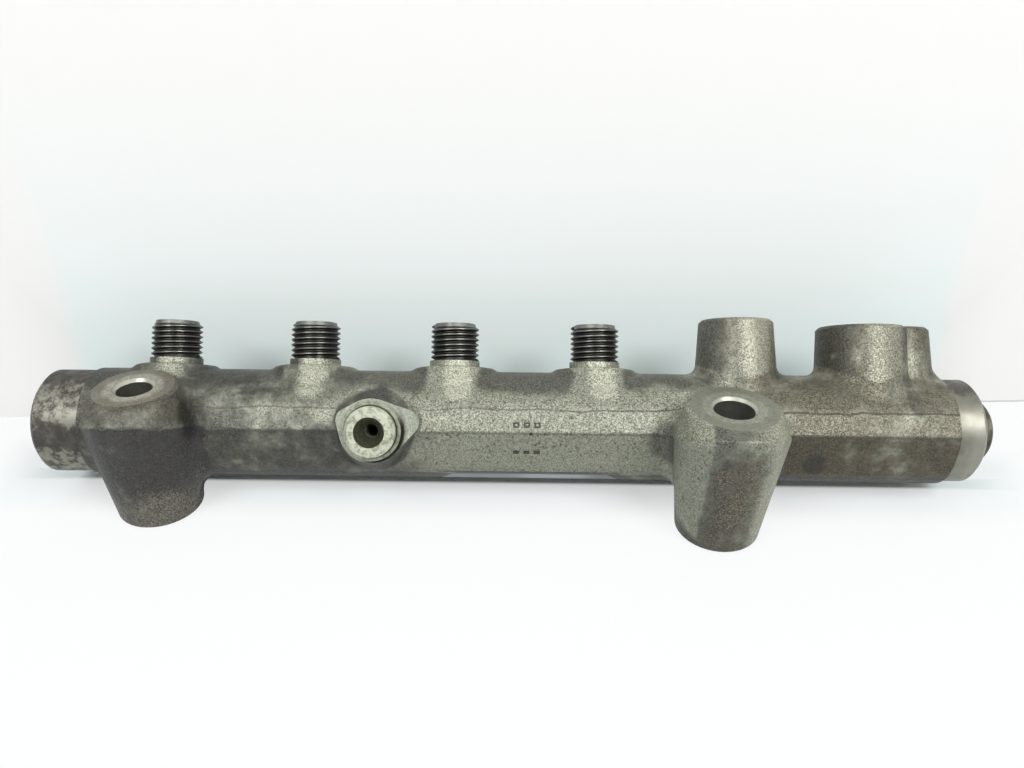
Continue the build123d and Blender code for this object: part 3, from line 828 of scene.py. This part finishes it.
# %% A pale finish that glows away from the rail
rail_middle = 0.103     # of the rail's length, in metres


def pale_finish(name, near_colour, far_colour, glow, glow_share, open_back=False):
    recipe = Recipe(name)
    recipe.surface.inputs["Roughness"].default_value = 0.9
    recipe.surface.inputs["Specular IOR Level"].default_value = 0.1
    x, y, z = recipe_xyz(recipe)
    off_end = recipe.between(recipe.size_of(recipe.minus(x, rail_middle)), 0.130, 0.170)
    share = recipe.larger(off_end, glow_share(recipe, y, z))
    tint_height = recipe.between(recipe.larger(z, recipe.times(off_end, 0.2)), 0.030, 0.120)
    past_ends = recipe.between(recipe.size_of(recipe.minus(x, 0.105)), 0.100, 0.124)
    off_shadow = recipe.larger(recipe.between(share, 0.0, 0.4), past_ends)
    # painted shadow: the floor is a little darker and greyer in a narrow strip under the rail; painted shade:
    # the wall is tinted greener low down behind the rail
    colour = recipe.mix(tint_height if open_back else off_shadow, near_colour, far_colour)
    if open_back:
        # painted shade: a dark line at the right of the wall's foot, where wall meets floor
        foot_shade_line = recipe.times(recipe.between(z, 0.0002, 0.0009, 0.7, 0.0), recipe.between(x, 0.15, 0.24))
        colour = recipe.mix(foot_shade_line, colour, (0.34, 0.33, 0.31))
        share = recipe.minus(share, foot_shade_line)
    recipe.feed(recipe.surface.inputs["Base Color"], colour)
    path = recipe.nodes.new("ShaderNodeLightPath")
    seen = recipe.larger(path.outputs["Is Camera Ray"], path.outputs["Is Transmission Ray"])
    seen = recipe.larger(seen, path.outputs["Is Glossy Ray"])
    light = recipe.add("Emission", {"Color": (1, 1, 1), "Strength": 1.0})
    shown = recipe.add("MixShader", {0: recipe.times(recipe.times(seen, glow), share),
                                     1: recipe.surface.outputs[0], 2: light})
    if open_back:
        behind = recipe.nodes.new("ShaderNodeNewGeometry").outputs["Backfacing"]
        clear = recipe.add("BsdfTransparent", {})
        shown = recipe.add("MixShader", {0: behind, 1: shown, 2: clear})
    recipe.links.new(shown, recipe.nodes["Material Output"].inputs["Surface"])
    return recipe.material


def floor_share(recipe, y, z):
    away = recipe.size_of(recipe.minus(y, rail_axis.y + 0.0015))
    return recipe.plus(recipe.between(away, 0.0014, 0.0034, 0.0, 0.60),
                       recipe.between(away, 0.007, 0.022, 0.0, 0.40))


def wall_share(recipe, y, z):
    return recipe.between(z, 0.0, 0.066)

# %% Floor and wall
def panel(name, corners, material):
    mesh = bpy.data.meshes.new(name)
    mesh.from_pydata(corners, [], [(0, 1, 2, 3)])
    mesh.materials.append(material)
    obj = bpy.data.objects.new(name, mesh)
    bpy.context.collection.objects.link(obj)
    return obj


# the first colour is the darker, greyer painted shadow under the rail
floor_white = pale_finish("floor_white", (0.60, 0.61, 0.60), (0.64, 0.70, 0.705), 0.85, floor_share)
floor = panel("floor", [(-3, -3, 0), (3, -3, 0), (3, 3, 0), (-3, 3, 0)], floor_white)
wall_left, wall_right = Vector((-1.0, -0.0024, 0)), Vector((1.2, 0.1175, 0))
high = Vector((0, 0, 1.5))
# the first colour is the greener painted tint of shade low down on the wall
wall_pale = pale_finish("wall_pale", (0.62, 0.71, 0.695), (0.71, 0.70, 0.68), 0.48, wall_share,
                        open_back=True)
wall = panel("wall", [wall_left, wall_right, wall_right + high, wall_left + high], wall_pale)
wall.visible_shadow = False
print("set:", floor.name, wall.name)

# %% [markdown]
# Two big soft lamps stand left and right in front, well above the rail. A wide lamp gives the forged skin
# its soft sheen, and draws one bright band along the turned ends. The world lights the rail only dimly, but
# to the camera it shows as nearly white.

# %% Lamps and world
def soft_lamp(name, place, aim, size, power):
    lamp = bpy.data.lights.new(name, "AREA")
    lamp.shape, lamp.size, lamp.energy = "SQUARE", size, power
    obj = bpy.data.objects.new(name, lamp)
    bpy.context.collection.objects.link(obj)
    obj.location = place
    obj.rotation_euler = (Vector(aim) - Vector(place)).to_track_quat("-Z", "Y").to_euler()
    return obj


soft_lamp("lamp_left", (-0.20, -0.36, 0.47), (0.07, 0.0, 0.02), 0.26, 2.4)
soft_lamp("lamp_right", (0.43, -0.38, 0.50), (0.13, 0.0, 0.02), 0.26, 3.6)
world = bpy.data.worlds.new("plain_room")
bpy.context.scene.world = world
world.use_nodes = True
backdrop = world.node_tree.nodes["Background"]
backdrop.inputs["Color"].default_value = (1, 1, 1, 1)
path = world.node_tree.nodes.new("ShaderNodeLightPath")
glow = world.node_tree.nodes.new("ShaderNodeMapRange")
glow.inputs["To Min"].default_value, glow.inputs["To Max"].default_value = 0.22, 0.97
world.node_tree.links.new(path.outputs["Is Camera Ray"], glow.inputs["Value"])
world.node_tree.links.new(glow.outputs[0], backdrop.inputs["Strength"])

# %% [markdown]
# The camera is close to the rail and looks down on it at about 28 degrees, which gives the strong
# perspective: the near columns lean outwards. The lens value is for a sensor 36 mm wide.

# %% Camera
camera = bpy.data.cameras.new("camera")
camera.sensor_width, camera.lens = 36.0, 27.385
camera.clip_start = 0.01
eye = bpy.data.objects.new("camera", camera)
bpy.context.collection.objects.link(eye)
eye.location = (0.10219, -0.18233, 0.13895)
eye.rotation_euler = (radians(61.790), radians(-0.468), radians(0.539))
bpy.context.scene.camera = eye
bpy.context.scene.view_settings.view_transform = "Standard"
print("camera at", tuple(round(v, 3) for v in eye.location))
